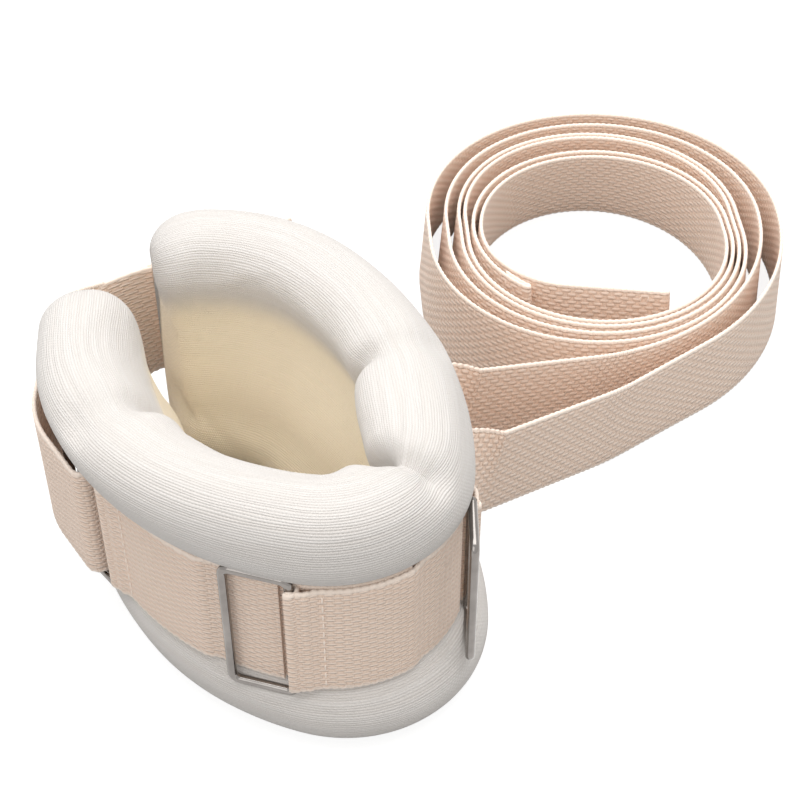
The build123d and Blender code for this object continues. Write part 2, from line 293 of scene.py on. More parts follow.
def evenly(rows, step):
    """The same rows at equal distances along the webbing."""
    gaps = np.linalg.norm(np.diff(rows[:, [0, 1, 3]], axis=0), axis=1)
    along = np.r_[0, np.cumsum(gaps)]
    marks = np.linspace(0, along[-1], max(3, int(along[-1] / step)))
    return marks, np.column_stack([np.interp(marks, along, column) for column in rows.T])


def webbing_section(width):
    """Half-round edged section: places up the webbing and through it."""
    half = cuff_settings().cloth / 2
    up = np.linspace(half, width - half, FACE_STEPS)
    bend = np.linspace(90, -90, EDGE_STEPS + 2)[1:-1]
    bend = np.radians(bend)
    top = [(width - half + half * math.cos(angle), half * math.sin(angle)) for angle in bend]
    low = [(width - u, -n) for u, n in top]
    return np.array([(u, half) for u in up] + top + [(u, -half) for u in up[::-1]] + low)


def webbing(name, rows, width):
    """A strip of webbing on edge, closed at both ends, with looped selvedges."""
    along, rows = evenly(rows, SELVEDGE_STEP)
    x, y, heading, foot, lean = rows.T
    section = webbing_section(width)
    heading, lean = np.radians(heading), np.radians(lean)
    slope = np.arctan2(np.gradient(foot), np.hypot(np.gradient(x), np.gradient(y)))
    forward = np.column_stack([np.cos(heading), np.sin(heading), np.zeros_like(x)])
    right = np.column_stack([np.sin(heading), -np.cos(heading), np.zeros_like(x)])
    above = np.array([0, 0, 1.0])
    rise = above * np.cos(slope)[:, None] - forward * np.sin(slope)[:, None]
    up = rise * np.cos(lean)[:, None] - right * np.sin(lean)[:, None]
    through = right * np.cos(lean)[:, None] + rise * np.sin(lean)[:, None]
    wave = SELVEDGE_PROUD * np.cos(2 * np.pi * along / SELVEDGE_LOOP)
    cloth = cuff_settings().cloth
    edge = np.clip((np.abs(section[:, 0] - width / 2) - width / 2 + cloth) / cloth, 0, 1)
    side = np.sign(section[:, 0] - width / 2)
    tall = section[None, :, 0] + wave[:, None] * (edge * side)[None, :]
    thick = section[None, :, 1] * (1 + 0.12 * wave[:, None] / SELVEDGE_PROUD * edge[None, :])
    start = np.column_stack([x, y, foot]) + right * (np.sin(lean) * width)[:, None]
    verts = start[:, None, :] + tall[..., None] * up[:, None, :] + thick[..., None] * through[:, None, :]
    ring = np.r_[section[:, 0], section[0, 0]]
    marks = np.stack(np.broadcast_arrays(along[:, None], ring[None, :]), axis=-1)
    return grid_object(name, verts, marks, len(section), "face")


# ------------------------------------------------------------------ pad
ROLL = 15.5                       # half the thickness of the top and bottom rolls
PAD_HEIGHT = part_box("knit_cover")[1].z / MM
PAD_AROUND = 96                   # points round the pad's section, a multiple of four
PAD_STEP = 2.9
DOME_LONG, DOME_IN = 13.0, 13.0    # how far the pad's ends are rounded, seen from above
DOME_TALL, DOME_DROP = 23.0, 14.0  # and seen from the side
# quarter outlines, outwards and up from the pad's middle: outside to the top, inside to the top
OUTSIDE_HIGH = [(8.2, 0), (8.2, 12), (8.3, 20.5), (9.4, 25.0), (13.6, 27.2), (16.2, 31.4), (16.8, 37.0),
                (16.0, 43.0), (13.2, 48.6), (9.0, 52.2), (4.4, 53.8), (-0.5, 54)]
OUTSIDE_LOW = [(8.2, 0), (8.2, 12), (8.3, 21), (9.6, 25.2), (13.4, 28.2), (16.0, 33.5), (16.4, 39.5),
               (14.6, 46.2), (10.2, 51.4), (4.4, 53.8), (-0.5, 54)]
INSIDE = [(-0.5, 54), (-6.0, 53.4), (-11.2, 50.3), (-14.8, 44.6), (-16.2, 37.0), (-16.0, 27.0), (-15.2, 14.0),
          (-14.9, 0)]
# how far the rolls stand off the course: distance along, millimetres outwards
TOP_SHIFT = [(15, 1.5), (40, 8.0), (65, 7.0), (90, 4.0), (125, -1.4), (158, -2.6), (182, -4.4), (207, -6.4),
             (230, -6.6), (257, -6.0), (290, -5.6), (319, -4.9), (341, -3.5), (371, -3.0)]
BOTTOM_SHIFT = [(15, -3.0), (70, -5.0), (88, -3.2), (110, -1.4), (134, 0.6), (155, 3.4), (172, 5.4),
                (188, 5.6), (201, 5.0), (220, 3.0), (250, -3.0), (290, -7.0), (371, -6.0)]
# how far the foam bulges in below, under the waist, on the limb's side
LOW_BULGE = [(0, 9.0), (20, 12.0), (50, 11.0), (80, 4.0), (105, 0.0), (200, 0.0), (240, 5.0), (275, 11.0),
             (330, 9.0), (371, 4.0)]
# folds of the foam on the inside: distance along, half width, depth, share of it over the top
FOLDS = [(68.5, 7.0, 4.2, 0.7), (182.0, 9.0, 8.5, 0.35), (184.0, 2.8, 6.0, 0.75), (243.0, 4.6, 5.5, 0.35)]
CLOTH_FRAMES = 20                 # steps of the cloth simulation
HELD_OUT, HELD_TALL = 7.0, 27.0   # the waist's outer face, which the band holds
HELD_LOW = 2.5                    # what lies lower than this is held by the floor
# where the foam is pushed out beside the folds: distance along, half width, height
SWELLS = [(77.0, 5.5, 2.4), (162.0, 9.0, 1.2), (222.0, 17.0, 2.2)]


def through_points(points, count):
    """Equally spaced points on a smooth line through given points."""
    points = np.array(points, float)
    ends = np.vstack([2 * points[0] - points[1], points, 2 * points[-1] - points[-2]])
    line = []
    for before, start, end, after in zip(ends, ends[1:], ends[2:], ends[3:]):
        for t in np.linspace(0, 1, 12, endpoint=False):
            line.append(0.5 * (2 * start + (end - before) * t
                               + (2 * before - 5 * start + 4 * end - after) * t ** 2
                               + (3 * start - before - 3 * end + after) * t ** 3))
    line = np.array(line + [points[-1]])
    along = np.r_[0, np.cumsum(np.hypot(*np.diff(line, axis=0).T))]
    marks = np.linspace(0, along[-1], count + 1)
    return np.column_stack([np.interp(marks, along, line[:, 0]), np.interp(marks, along, line[:, 1])])


def pad_outline():
    """The pad's section from the middle of its waist, over the top, down the inside and round."""
    quarter = PAD_AROUND // 4
    high, low, inside = [through_points(part, quarter) for part in (OUTSIDE_HIGH, OUTSIDE_LOW, INSIDE)]
    upper = np.vstack([high[:-1], inside[:-1]])
    lower = np.vstack([inside[::-1][:-1], low[::-1][:-1]]) * (1, -1)
    return np.vstack([upper, lower])


def shift_of(rows, along):
    """A soft line through a few listed shifts."""
    marks, values = np.array(rows, float).T
    rough = np.interp(along + np.linspace(-14, 14, 9)[:, None], marks, values)
    return rough.mean(axis=0)


def pad_mesh(name, inset):
    """The pad's closed skin: its section carried along the course, with domed ends."""
    outline = pad_outline()
    tangent = np.roll(outline, -1, axis=0) - np.roll(outline, 1, axis=0)
    normal = np.column_stack([tangent[:, 1], -tangent[:, 0]])
    normal /= np.linalg.norm(normal, axis=1)[:, None]
    outline = outline - normal * inset
    sides = np.diff(np.vstack([outline, outline[:1]]), axis=0)
    perimeter = np.r_[0, np.cumsum(np.linalg.norm(sides, axis=1))]
    near = inset + DOME_TALL * (1 - np.sin(np.radians(np.linspace(87, 0, 16))))
    middle = np.linspace(near[-1], PAD.length - near[-1], int((PAD.length - 2 * near[-1]) / PAD_STEP))
    rings = np.r_[near[:-1], middle, (PAD.length - near[::-1])[1:]]
    verts, marks = [], []
    for along in rings:
        verts.append(pad_ring(along, outline, normal, inset))
        marks.append(np.column_stack([np.full(PAD_AROUND + 1, along), perimeter]))
    return grid_object(name, np.array(verts), np.array(marks), PAD_AROUND, "ladder")


def drop_near_ends(along, inset, reach, drop):
    """How far the skin has come in, close to either end, on a quarter of an ellipse."""
    from_end = min(along, PAD.length - along) - inset
    share = min(1.0, max(0.0, 1 - from_end / reach))
    return drop * (1 - math.sqrt(1 - share * share))


def pad_ring(along, outline, normal, inset):
    """One ring of the pad's skin, with the folds, the flare and the domed end."""
    half = PAD_HEIGHT / 2
    up = outline[:, 1]
    inner = smooth((-outline[:, 0] - 2) / 11)  # one on the limb's side
    top = smooth((up - 40) / 12)               # one over the top of the upper roll
    press = np.zeros(len(outline))             # outwards from the skin
    for place, width, deep, over in FOLDS:
        share = inner * (0.35 + 0.65 * smooth((np.abs(up) - 8) / 34)) + over * top * (1 - inner)
        press -= deep * hump(along - place, width) * np.clip(share, 0, 1)
    for place, width, high in SWELLS:
        press += high * hump(along - place, width) * inner
    bulge = shift_of(LOW_BULGE, np.array([along]))
    press += bulge * smooth((24 - up) / 46) * smooth((up + 60) / 22) * inner
    level = up + half
    shift = shift_of(TOP_SHIFT, np.array([along])) * smooth((level - 74) / 26)
    shift = shift + shift_of(BOTTOM_SHIFT, np.array([along])) * smooth((34 - level) / 26)
    out = outline[:, 0] + normal[:, 0] * press
    tall = up + normal[:, 1] * press
    slim = max(0.04, 1 - drop_near_ends(along, inset, DOME_LONG, DOME_IN) / (ROLL - inset))
    short = 1 - drop_near_ends(along, inset, DOME_TALL, DOME_DROP) / (half - inset)
    out, tall = out * slim, tall * short
    ring = []
    for offset, height in zip(out + shift, tall):
        place, _ = PAD.at(along, offset)
        ring.append((place.x, place.y, height + half))
    return ring


def swell(piece):
    """Swells the cover with cloth simulation, within a cap; the band and the floor hold it."""
    settings, scene = cuff_settings(), bpy.context.scene
    count = len(piece.data.vertices)
    before = np.empty(count * 3, np.float32)
    piece.data.vertices.foreach_get("co", before)
    before = before.reshape(-1, 3)
    offset = np.tile(pad_outline(), (count // PAD_AROUND, 1))
    waist = (offset[:, 0] > HELD_OUT) & (np.abs(offset[:, 1]) < HELD_TALL)
    held = waist | (before[:, 2] < HELD_LOW * MM)
    group = piece.vertex_groups.new(name="held")
    group.add(np.flatnonzero(held).tolist(), 1.0, "REPLACE")
    cloth = piece.modifiers.new("cloth", "CLOTH")
    cloth.settings.vertex_group_mass = group.name
    cloth.settings.use_pressure = True
    cloth.settings.uniform_pressure_force = settings.pressure
    cloth.settings.effector_weights.gravity = 0.0
    cloth.settings.quality = 6
    cloth.collision_settings.use_collision = False
    cloth.point_cache.frame_start, cloth.point_cache.frame_end = 1, CLOTH_FRAMES
    for step in range(1, CLOTH_FRAMES + 1):
        scene.frame_set(step)
    after = np.empty(count * 3, np.float32)
    posed = piece.evaluated_get(bpy.context.evaluated_depsgraph_get())
    posed.data.vertices.foreach_get("co", after)
    piece.modifiers.remove(cloth)
    piece.vertex_groups.remove(group)
    scene.frame_set(1)
    move = after.reshape(-1, 3) - before
    far = np.linalg.norm(move, axis=1)
    move *= np.minimum(1.0, settings.swell * MM / np.maximum(far, 1e-9))[:, None]
    piece.data.vertices.foreach_set("co", (before + move).ravel())
    smoother = piece.modifiers.new("finer", "SUBSURF")
    smoother.levels = smoother.render_levels = 1
    piece.data.update()


# ------------------------------------------------------------------ materials
class Signal:
    """A socket of a material's nodes that takes part in sums."""

    def __init__(self, tree, socket=None):
        self.tree, self.socket = tree, socket

    def node(self, kind, settings=None, inputs=None, output=0):
        """A new node of any kind: its settings first, then its inputs' values or links."""
        made = self.tree.nodes.new(kind)
        for key, value in (settings or {}).items():
            setattr(made, key, value)
        for key, value in (inputs or {}).items():
            if isinstance(value, Signal):
                self.tree.links.new(value.socket, made.inputs[key])
            else:
                made.inputs[key].default_value = value
        return Signal(self.tree, made.outputs[output])

    def math(self, operation, *values):
        """A Math node on this value and others."""
        return self.node("ShaderNodeMath", {"operation": operation}, dict(enumerate((self, *values))))

    def __add__(self, other):
        return self.math("ADD", other)

    __radd__ = __add__

    def __mul__(self, other):
        return self.math("MULTIPLY", other)

    def __sub__(self, other):
        return self.math("SUBTRACT", other)

    def __rsub__(self, other):
        return self * -1.0 + other

    def __truediv__(self, other):
        return self.math("DIVIDE", other)

    def __pow__(self, other):
        return self.math("POWER", other)

    def clipped(self):
        """The value held between 0 and 1."""
        return self.math("MAXIMUM", 0.0).math("MINIMUM", 1.0)

    def between(self, low, high):
        """Rises softly from 0 at low to 1 at high."""
        share = ((self - low) / (high - low)).clipped()
        return share * share * (3.0 - share * 2.0)


class Finish:
    """A material with one Principled shader, and what its pattern needs."""

    def __init__(self, name, **constants):
        self.material = bpy.data.materials.new(name)
        self.material.use_nodes = True
        tree = self.material.node_tree
        self.any = Signal(tree)
        self.shader = tree.nodes["Principled BSDF"]
        for key, value in constants.items():
            self.shader.inputs[key.replace("_", " ")].default_value = value

    def weave_map(self):
        """Distances along and across the cloth, in millimetres."""
        marks = self.any.node("ShaderNodeUVMap", {"uv_map": "weave"})
        return [self.any.node("ShaderNodeSeparateXYZ", None, {0: marks}, axis) for axis in (0, 1)]

    def place(self):
        """Object coordinates."""
        return self.any.node("ShaderNodeTexCoord", None, None, "Object")

    def noise(self, vector, scale, detail=2.0):
        """Noise between about 0 and 1."""
        return self.any.node("ShaderNodeTexNoise", None, {"Vector": vector, "Scale": scale, "Detail": detail})

    def vector(self, x, y, z=0.0):
        """A vector from three numbers."""
        return self.any.node("ShaderNodeCombineXYZ", None, {0: x, 1: y, 2: z})

    def mixed(self, share, first, second):
        """A colour between two colours."""
        return self.any.node("ShaderNodeMix", {"data_type": "RGBA"}, {0: share, 6: first, 7: second}, 2)

    def connect(self, key, signal):
        """Feeds one of the shader's inputs."""
        self.any.tree.links.new(signal.socket, self.shader.inputs[key])

    def bump(self, height, distance, strength=1.0):
        """Raises the surface by a height, in metres at full height."""
        inputs = {"Height": height, "Distance": distance, "Strength": strength}
        self.connect("Normal", self.any.node("ShaderNodeBump", None, inputs))


def colour4(colour):
    """A colour property as red, green, blue, one."""
    return (*colour[:3], 1.0)


def knit_finish(name, colours, inner):
    """Fine ribbed knit: wales run along the pad, with small stitches in each; the colour carries painted
    shade between wales and stitches, and painted warm bounce light on the limb's side.
    """
    finish = Finish(name, Roughness=0.95, Sheen_Weight=0.3, Sheen_Roughness=0.5, Specular_IOR_Level=0.15)
    along, across = finish.weave_map()
    wander = finish.noise(finish.vector(along * 0.05, across * 0.35), 1.0)
    wale = (across + wander * 1.2) / WALE
    number = wale.math("FLOOR")
    ridge = (wale.math("FRACT") * math.pi).math("SINE")
    stitch = ((along / KNIT_STITCH + number * 0.5) * (2 * math.pi)).math("SINE") * 0.5 + 0.5
    streak = finish.noise(finish.vector(along * 0.02, across * 0.4), 1.0).between(0.36, 0.68)
    # Painted bounce light: the limb's side of the cover is coloured warmer and brighter than the outside,
    # standing in for light bounced round inside the cuff and through the cloth.
    low, high = inner
    inner_wall_bounce_light = across.between(low - 10, low + 8) * (1.0 - across.between(high - 8, high + 10))
    dots = ridge * (0.55 + stitch * 0.45)
    height = dots * 0.75 + streak * 0.3 * (1.0 - inner_wall_bounce_light)
    # Painted shade: the colour darkens between wales and stitches and lightens on the raised ridges and
    # streaks, following the height.
    tone = (ridge * 0.4 + stitch * 0.2 + streak * 0.3 + 0.1).clipped()
    outer = finish.mixed(tone, colour4(colours.knit_painted_shade), colour4(colours.knit))
    # Painted shade between the stitches on the limb's side as well.
    inner_groove_shading = (dots * 0.75 + 0.25).clipped()
    inside = finish.mixed(inner_groove_shading, colour4(colours.inner_wall_bounce_groove_shade), colour4(colours.inner_wall_bounce_light))
    finish.connect("Base Color", finish.mixed(inner_wall_bounce_light, outer, inside))
    finish.bump(height, 0.00028)
    return finish.material


WALE, KNIT_STITCH = 0.92, 1.1     # width of a wale and length of a knitted stitch
FLOAT_STEP, FLOAT_SHARE = 5.3, 0.34  # from one float to the next, and half a float's share of it


def webbing_finish(name, colours, width, row):
    """Plain webbing: rows of floats set like bricks, with painted shade between the floats, and paler looped
    selvedges.
    """
    finish = Finish(name, Roughness=0.85, Sheen_Weight=0.2, Sheen_Roughness=0.5, Specular_IOR_Level=0.3)
    along, across = finish.weave_map()
    lines = across / row
    line = lines.math("FLOOR")
    wander = finish.noise(finish.vector(along * 0.09, across * 0.5), 1.0) * 0.22
    step = (along / FLOAT_STEP + line * 0.5 + wander).math("FRACT")
    long = (1.0 - ((step - 0.5).math("ABSOLUTE") / FLOAT_SHARE) ** 2.2).clipped()
    tall = (lines.math("FRACT") * math.pi).math("SINE")
    raised = long ** 0.6 * tall ** 0.7
    offset = along / FLOAT_STEP + line * 0.5 + wander + 0.5
    between = (offset.math("FRACT") - 0.5).math("ABSOLUTE")
    bar = (1.0 - (between / 0.16)).clipped() * 0.35
    height = raised + bar * (1.0 - raised)
    edge = ((across - width / 2).math("ABSOLUTE")).between(width / 2 - 1.7, width / 2 - 1.1)
    loops = ((along / SELVEDGE_LOOP) * (2 * math.pi)).math("SINE") * 0.5 + 0.5
    height = height * (1.0 - edge) + (0.5 + loops * 0.5) * edge
    patch = finish.noise(finish.vector(along * 0.03, across * 0.05), 1.0)
    # Painted shade: the colour darkens where the weave lies low, between the floats.
    tone = (height * 0.75 + patch * 0.2 + 0.08).clipped()
    body = finish.mixed(tone, colour4(colours.webbing_painted_shade), colour4(colours.webbing))
    finish.connect("Base Color", finish.mixed(edge * 0.7, body, colour4(colours.selvedge)))
    finish.bump(height, 0.0005)
    return finish.material


def thread_finish(colours):
    """Twisted sewing thread."""
    finish = Finish("sewing_thread", Roughness=0.7, Sheen_Weight=0.2)
    place = finish.place()
    strand = finish.noise(place, 2600.0, 1.0)
    finish.connect("Base Color", finish.mixed(strand, colour4(colours.webbing), colour4(colours.selvedge)))
    finish.bump(strand, 0.0001)
    return finish.material


def wire_finish(colours):
    """Nickel-plated steel wire, slightly rubbed, with a darkened base colour and darker patches painted as
    reflections of dark surroundings.
    """
    finish = Finish("nickel_wire", Metallic=1.0)
    place = finish.place()
    rub_and_dark_reflection = finish.noise(place, 140.0, 3.0)
    grain = finish.noise(place, 900.0)
    # Painted reflection: the darker base and the darker patches stand in for dark surroundings seen in the
    # metal; the same noise also varies roughness and bump as rubbing.
    finish.connect("Base Color", finish.mixed(rub_and_dark_reflection, colour4(colours.wire_painted_reflection), colour4(colours.wire)))
    finish.connect("Roughness", rub_and_dark_reflection * 0.08 + grain * 0.06 + 0.06)
    finish.bump(rub_and_dark_reflection * 0.6 + grain * 0.4, 0.00004)
    return finish.material


def foam_finish(colours):
    """Open-cell foam."""
    finish = Finish("open_cell_foam", Roughness=0.95)
    place = finish.place()
    cells = finish.any.node("ShaderNodeTexVoronoi", None, {"Vector": place, "Scale": 900.0})
    wall = cells.between(0.1, 0.6)
    # The hidden foam borrows the painted bounce colours of the limb's side.
    finish.connect("Base Color", finish.mixed(wall, colour4(colours.inner_wall_bounce_groove_shade), colour4(colours.inner_wall_bounce_light)))
    finish.bump(1.0 - wall, 0.0003)
    return finish.material


# ------------------------------------------------------------------ settings
def colour_property(name, description, value):
    """A colour that a user may change."""
    return FloatVectorProperty(name=name, description=description, default=value, subtype="COLOR",
                               size=3, min=0.0, max=1.0)


def size_property(name, description, value, low, high):
    """A size that a user may change."""
    return FloatProperty(name=name, description=description, default=value, min=low, max=high)


class CuffSettings(bpy.types.PropertyGroup):
    """Sizes and colours of the cuff's cloth and metal."""

    cloth: size_property("Webbing", "Thickness of the webbing, in millimetres", 1.5, 0.8, 1.58)
    pressure: size_property("Padding", "Pressure that swells the cover", 4.0, 0.0, 10.0)
    swell: size_property("Swell", "How far the cover may swell, in millimetres", 1.2, 0.0, 4.0)
    lean_near: size_property("Near lean", "Lean of the coil's near half, in degrees", 4.0, 0.0, 20.0)
    lean_far: size_property("Far lean", "Lean of the coil's far half, in degrees", 13.0, 0.0, 20.0)
    thread: size_property("Thread", "Thickness of the sewing thread, in millimetres", 0.72, 0.3, 1.2)

    knit: colour_property("Knit", "Raised stitches of the knitted cover", (0.71, 0.685, 0.665))
    # Painted shade: the knit's colour between the wales and stitches.
    knit_painted_shade: colour_property("Knit shade", "Between the wales of the cover", (0.645, 0.605, 0.57))
    # Painted bounce light: the limb's side is coloured warmer and brighter; its shade colour also carries
    # painted shade between the wales.
    inner_wall_bounce_light: colour_property("Lining", "Raised stitches on the limb's side", (1.0, 0.91, 0.75))
    inner_wall_bounce_groove_shade: colour_property("Lining shade", "Between the wales on the limb's side", (0.97, 0.85, 0.64))
    webbing: colour_property("Webbing", "Floats of the webbing", (0.98, 0.83, 0.725))
    # Painted shade between the webbing's floats.
    webbing_painted_shade: colour_property("Webbing shade", "Between the webbing's floats", (0.92, 0.69, 0.545))
    selvedge: colour_property("Selvedge", "Edge loops of the webbing", (0.98, 0.86, 0.765))
    # Painted reflection: both wire colours are darkened, and the shade patches darker still, standing in for
    # dark surroundings seen in the plate.
    wire: colour_property("Wire", "Nickel plate", (0.36, 0.335, 0.315))
    wire_painted_reflection: colour_property("Wire shade", "Nickel plate where it is rubbed", (0.17, 0.155, 0.145))


INNER_BOUNCE_DOWN = 24.0                # how far past the roll's inner edge the painted bounce light on the limb's side begins


def inner_bounce_range():
    """Where the painted bounce light on the limb's side of the cover begins and ends, round the pad's
    section.
    """
    outline = pad_outline()
    around = np.r_[0, np.cumsum(np.linalg.norm(np.diff(outline, axis=0), axis=1))]
    inside = around[outline[:, 0] < -12.0]
    return inside[0] + INNER_BOUNCE_DOWN, inside[-1]


def made_materials():
    """All finishes by name, made once."""
    if "nickel_wire" not in bpy.data.materials:
        colours = cuff_settings()
        knit_finish("ribbed_knit", colours, inner_bounce_range())
        webbing_finish("band_webbing", colours, BAND_WIDTH, 1.22)
        webbing_finish("woven_tie_webbing", colours, TIE_WIDTH, 1.9)
        thread_finish(colours)
        wire_finish(colours)
        foam_finish(colours)
    return bpy.data.materials


# ------------------------------------------------------------------ operators
class CUFF_OT_pad(bpy.types.Operator):
    """Makes the foam filling and its knitted cover, closed at both ends"""

    bl_idname = "cuff.pad"
    bl_label = "Padded cover"

    def execute(self, context):
        materials = made_materials()
        cover = pad_mesh("padded_cover", 0.0)
        swell(cover)
        stands_for = ["knit_cover", "cover_seam_first", "cover_seam_last"]
        finish_piece(cover, materials["ribbed_knit"], stands_for)
        filling = pad_mesh("foam_filling", 3.0)
        finish_piece(filling, materials["open_cell_foam"], ["foam_core"])
        return {"FINISHED"}


class CUFF_OT_band(bpy.types.Operator):
    """Makes the webbing band that pulls in the pad's waist"""

    bl_idname = "cuff.band"
    bl_label = "Band"

    def execute(self, context):
        rows = stations(PAD.points(BAND_START, PAD.length, BAND_LAYER), BAND_LOW)
        band = webbing("waist_band", rows, BAND_WIDTH)
        finish_piece(band, made_materials()["band_webbing"], ["band"])
        return {"FINISHED"}


def loop_points(name):
    """Plan of a ring's loop: under layer, turn round the hinge bar, outer layer, single layer."""
    start, fold, end = RING_AT[name], FOLD_ENDS[name], LOOP_ENDS[name]
    under = PAD.points(fold, start + 0.5, FIRST_LAYER)
    centre, heading = PAD.at(start, HINGE_OUT)
    radius = HINGE_OUT - FIRST_LAYER
    turn = [centre - right_of(heading - angle) * radius for angle in range(0, 220, 8)]

    def out(along):
        drop = SECOND_LAYER + 2.2 * hump(along - start - 3.0, 2.4)
        return drop - WEB * smooth((along - fold + 1) / 5)

    return under + turn + PAD.points(start + 4.2, end, out)


class CUFF_OT_ring_loops(bpy.types.Operator):
    """Makes the three webbing loops that carry the rings"""

    bl_idname = "cuff.ring_loops"
    bl_label = "Ring loops"

    def execute(self, context):
        for name in RING_AT:
            points = loop_points(name)
            rows = stations(points, BAND_LOW)
            loop = webbing(f"ring_loop_{name}", rows, BAND_WIDTH)
            finish_piece(loop, made_materials()["band_webbing"], [f"webbing_loop_{name}"])
        return {"FINISHED"}


def on_ring(name, reach):
    """A place on a ring at rest, at a distance from its hinge bar."""
    place, heading = PAD.at(RING_AT[name], HINGE_OUT)
    return place + turned(heading + 180 + RING_OPEN[name]) * reach


def grazing(bar, corner, side):
    """Heading of a line from a corner that grazes the turn round a bar."""
    across = bar - corner
    toward = math.degrees(math.atan2(across.y, across.x))
    return toward + side * math.degrees(math.asin(TURN_RADIUS / across.length))


def closing_points():
    """Plan of the closing strap: sewn end, gap, pad's end, ring c, and back outside."""
    start = Vector(PAD_START)
    leave, heading = PAD.at(PAD.length, FIRST_LAYER)
    inner = [leave, leave + turned(heading) * CLOSING_LEAVE]
    inner += [start + Vector(corner) for corner in INNER_CORNERS]
    outer = [start + Vector(corner) for corner in OUTER_CORNERS]
    bar = on_ring("c", RING_REACH - TURN_SLACK)
    going, back = grazing(bar, inner[-1], 1), grazing(bar, outer[0], -1) + 180
    sweep = (going - back) % 360
    turn = [bar - right_of(going - sweep * share) * TURN_RADIUS for share in np.linspace(0, 1, 14)]
    sewn = PAD.points(PAD.length - CLOSING_SEWN, PAD.length, FIRST_LAYER)
    return (sewn + rounded_line([*inner, turn[0]], INNER_BENDS)[1:] + turn[1:]
            + rounded_line([turn[-1], *outer], OUTER_BENDS)[1:])


def closing_foot(along):
    """The strap's lower edge: both layers sag where they cross the gap."""
    foot = BAND_LOW
    for place, width, drop in CLOSING_SAGS:
        foot = foot - drop * hump(along - place, width)
    return foot


class CUFF_OT_closing_strap(bpy.types.Operator):
    """Makes the strap that closes the cuff through its third ring"""

    bl_idname = "cuff.closing_strap"
    bl_label = "Closing strap"

    def execute(self, context):
        strap = webbing("closing_strap_webbing", stations(closing_points(), closing_foot), BAND_WIDTH)
        finish_piece(strap, made_materials()["band_webbing"], ["closing_strap"])
        return {"FINISHED"}


def coil_moves(name):
    """The coil's half turns, with short straights at its sides, and the strap's end."""
    rights, lefts = [[side - CENTRE[0] for side in sides[name]] for sides in (TIE_RIGHTS, TIE_LEFTS)]
    moves = []
    for turn in range(len(rights)):
        moves.append(((rights[turn] - lefts[turn]) / 2, 180.0))
        if turn + 1 < len(rights):
            moves += [(0, SIDE_RUN), ((rights[turn + 1] - lefts[turn]) / 2, 180.0)]
            moves.append((0, SIDE_RUN if turn == 0 else LAST_RUN[name]))
    return moves + TIE_ENDS[name]


def run_to_coil(place, heading, side):
    """Length of the straight, and radius of the turn, that lead to the coil's right side."""
    cos, sin = math.cos(math.radians(heading)), math.sin(math.radians(heading))
    across, ahead = side - place.x, COIL_LEVEL - place.y
    radius = (ahead * cos - across * sin) / (cos * cos - sin * (1 - sin))
    return (across - radius * (1 - sin)) / cos, radius


def hem_moves(name):
    """The turn back at a strap's end, and the hem laid on the coil's inner side."""
    last = TIE_ENDS[name][-1]
    back = (0, HEM_LONG) if last[0] == 0 else (WEB - last[0], math.degrees(HEM_LONG / (last[0] - WEB)))
    return [(WEB / 2, 180.0), back]


def tie_rows(name):
    """Stations of a tie strap, from its sewn end to the hem inside its coil."""
    sewn_at, heading = SEWN_AT[name], TIE_HEADING[name]
    sewn = PAD.points(sewn_at, sewn_at + TIE_SEWN, SECOND_LAYER)
    place, start = PAD.at(sewn_at + TIE_SEWN, SECOND_LAYER)
    bend = Course(place, start, [(-TIE_BEND[name], start - heading)])
    place, _ = bend.at(bend.length)
    run, radius = run_to_coil(place, heading, TIE_RIGHTS[name][0] - CENTRE[0])
    moves = [(0, run), (radius, 90 - heading)] + coil_moves(name) + hem_moves(name)
    coil = Course(place, heading, moves)
    before = TIE_SEWN + bend.length
    first = before + run + radius * math.radians(90 - heading)

    def foot(along):
        places = along + np.linspace(-10, 10, 9)[:, None]
        marks = [0, TIE_SEWN - 8, before - 6, before + TIE_DROP]
        return np.interp(places, marks, [TIE_LOW, TIE_LOW, TIE_BENT, SELVEDGE_PROUD]).mean(axis=0)

    def lean(along, heading):
        far = np.clip(-np.cos(np.radians(heading)), 0, 1)
        coiled = smooth((along - before - TIE_DROP) / (first - before - TIE_DROP))
        near_lean, far_lean = cuff_settings().lean_near, cuff_settings().lean_far
        return (near_lean + (far_lean - near_lean) * far ** 2) * coiled

    points = sewn + bend.points(0, bend.length)[1:] + coil.points(0, coil.length, 0, 0.5)[1:]
    return stations(points, foot, lean)


class CUFF_OT_tie_straps(bpy.types.Operator):
    """Makes the two long tie straps, coiled together beside the cuff"""

    bl_idname = "cuff.tie_straps"
    bl_label = "Tie straps"

    def execute(self, context):
        for name in SEWN_AT:
            strap = webbing(f"tie_webbing_{name}", tie_rows(name), TIE_WIDTH)
            finish_piece(strap, made_materials()["woven_tie_webbing"], [f"tie_strap_{name}"])
        return {"FINISHED"}


class CUFF_OT_rings(bpy.types.Operator):
    """Gives the three wire rings their nickel finish"""

    bl_idname = "cuff.rings"
    bl_label = "Rings"

    def execute(self, context):
        for name in RING_AT:
            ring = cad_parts[f"ring_{name}"]
            ring.data.materials.clear()
            ring.data.materials.append(made_materials()["nickel_wire"])
        return {"FINISHED"}


def stitch_blocks(node):
    """Centre, directions and half sizes of every block in a sewn row, longest side first."""
    rows = bmesh.new()
    rows.from_mesh(node.data)
    bmesh.ops.remove_doubles(rows, verts=rows.verts, dist=1e-6)
    seen, found = set(), []
    for first in rows.verts:
        if first in seen:
            continue
        group, waiting = [], [first]
        seen.add(first)
        while waiting:
            corner = waiting.pop()
            group.append(tuple(corner.co))
            fresh = {edge.other_vert(corner) for edge in corner.link_edges} - seen
            seen |= fresh
            waiting += fresh
        group = np.array(group)
        centre = group.mean(axis=0)
        axes = np.linalg.svd(group - centre)[2]
        found.append((centre, axes, np.abs((group - centre) @ axes.T).max(axis=0)))
    rows.free()
    return found


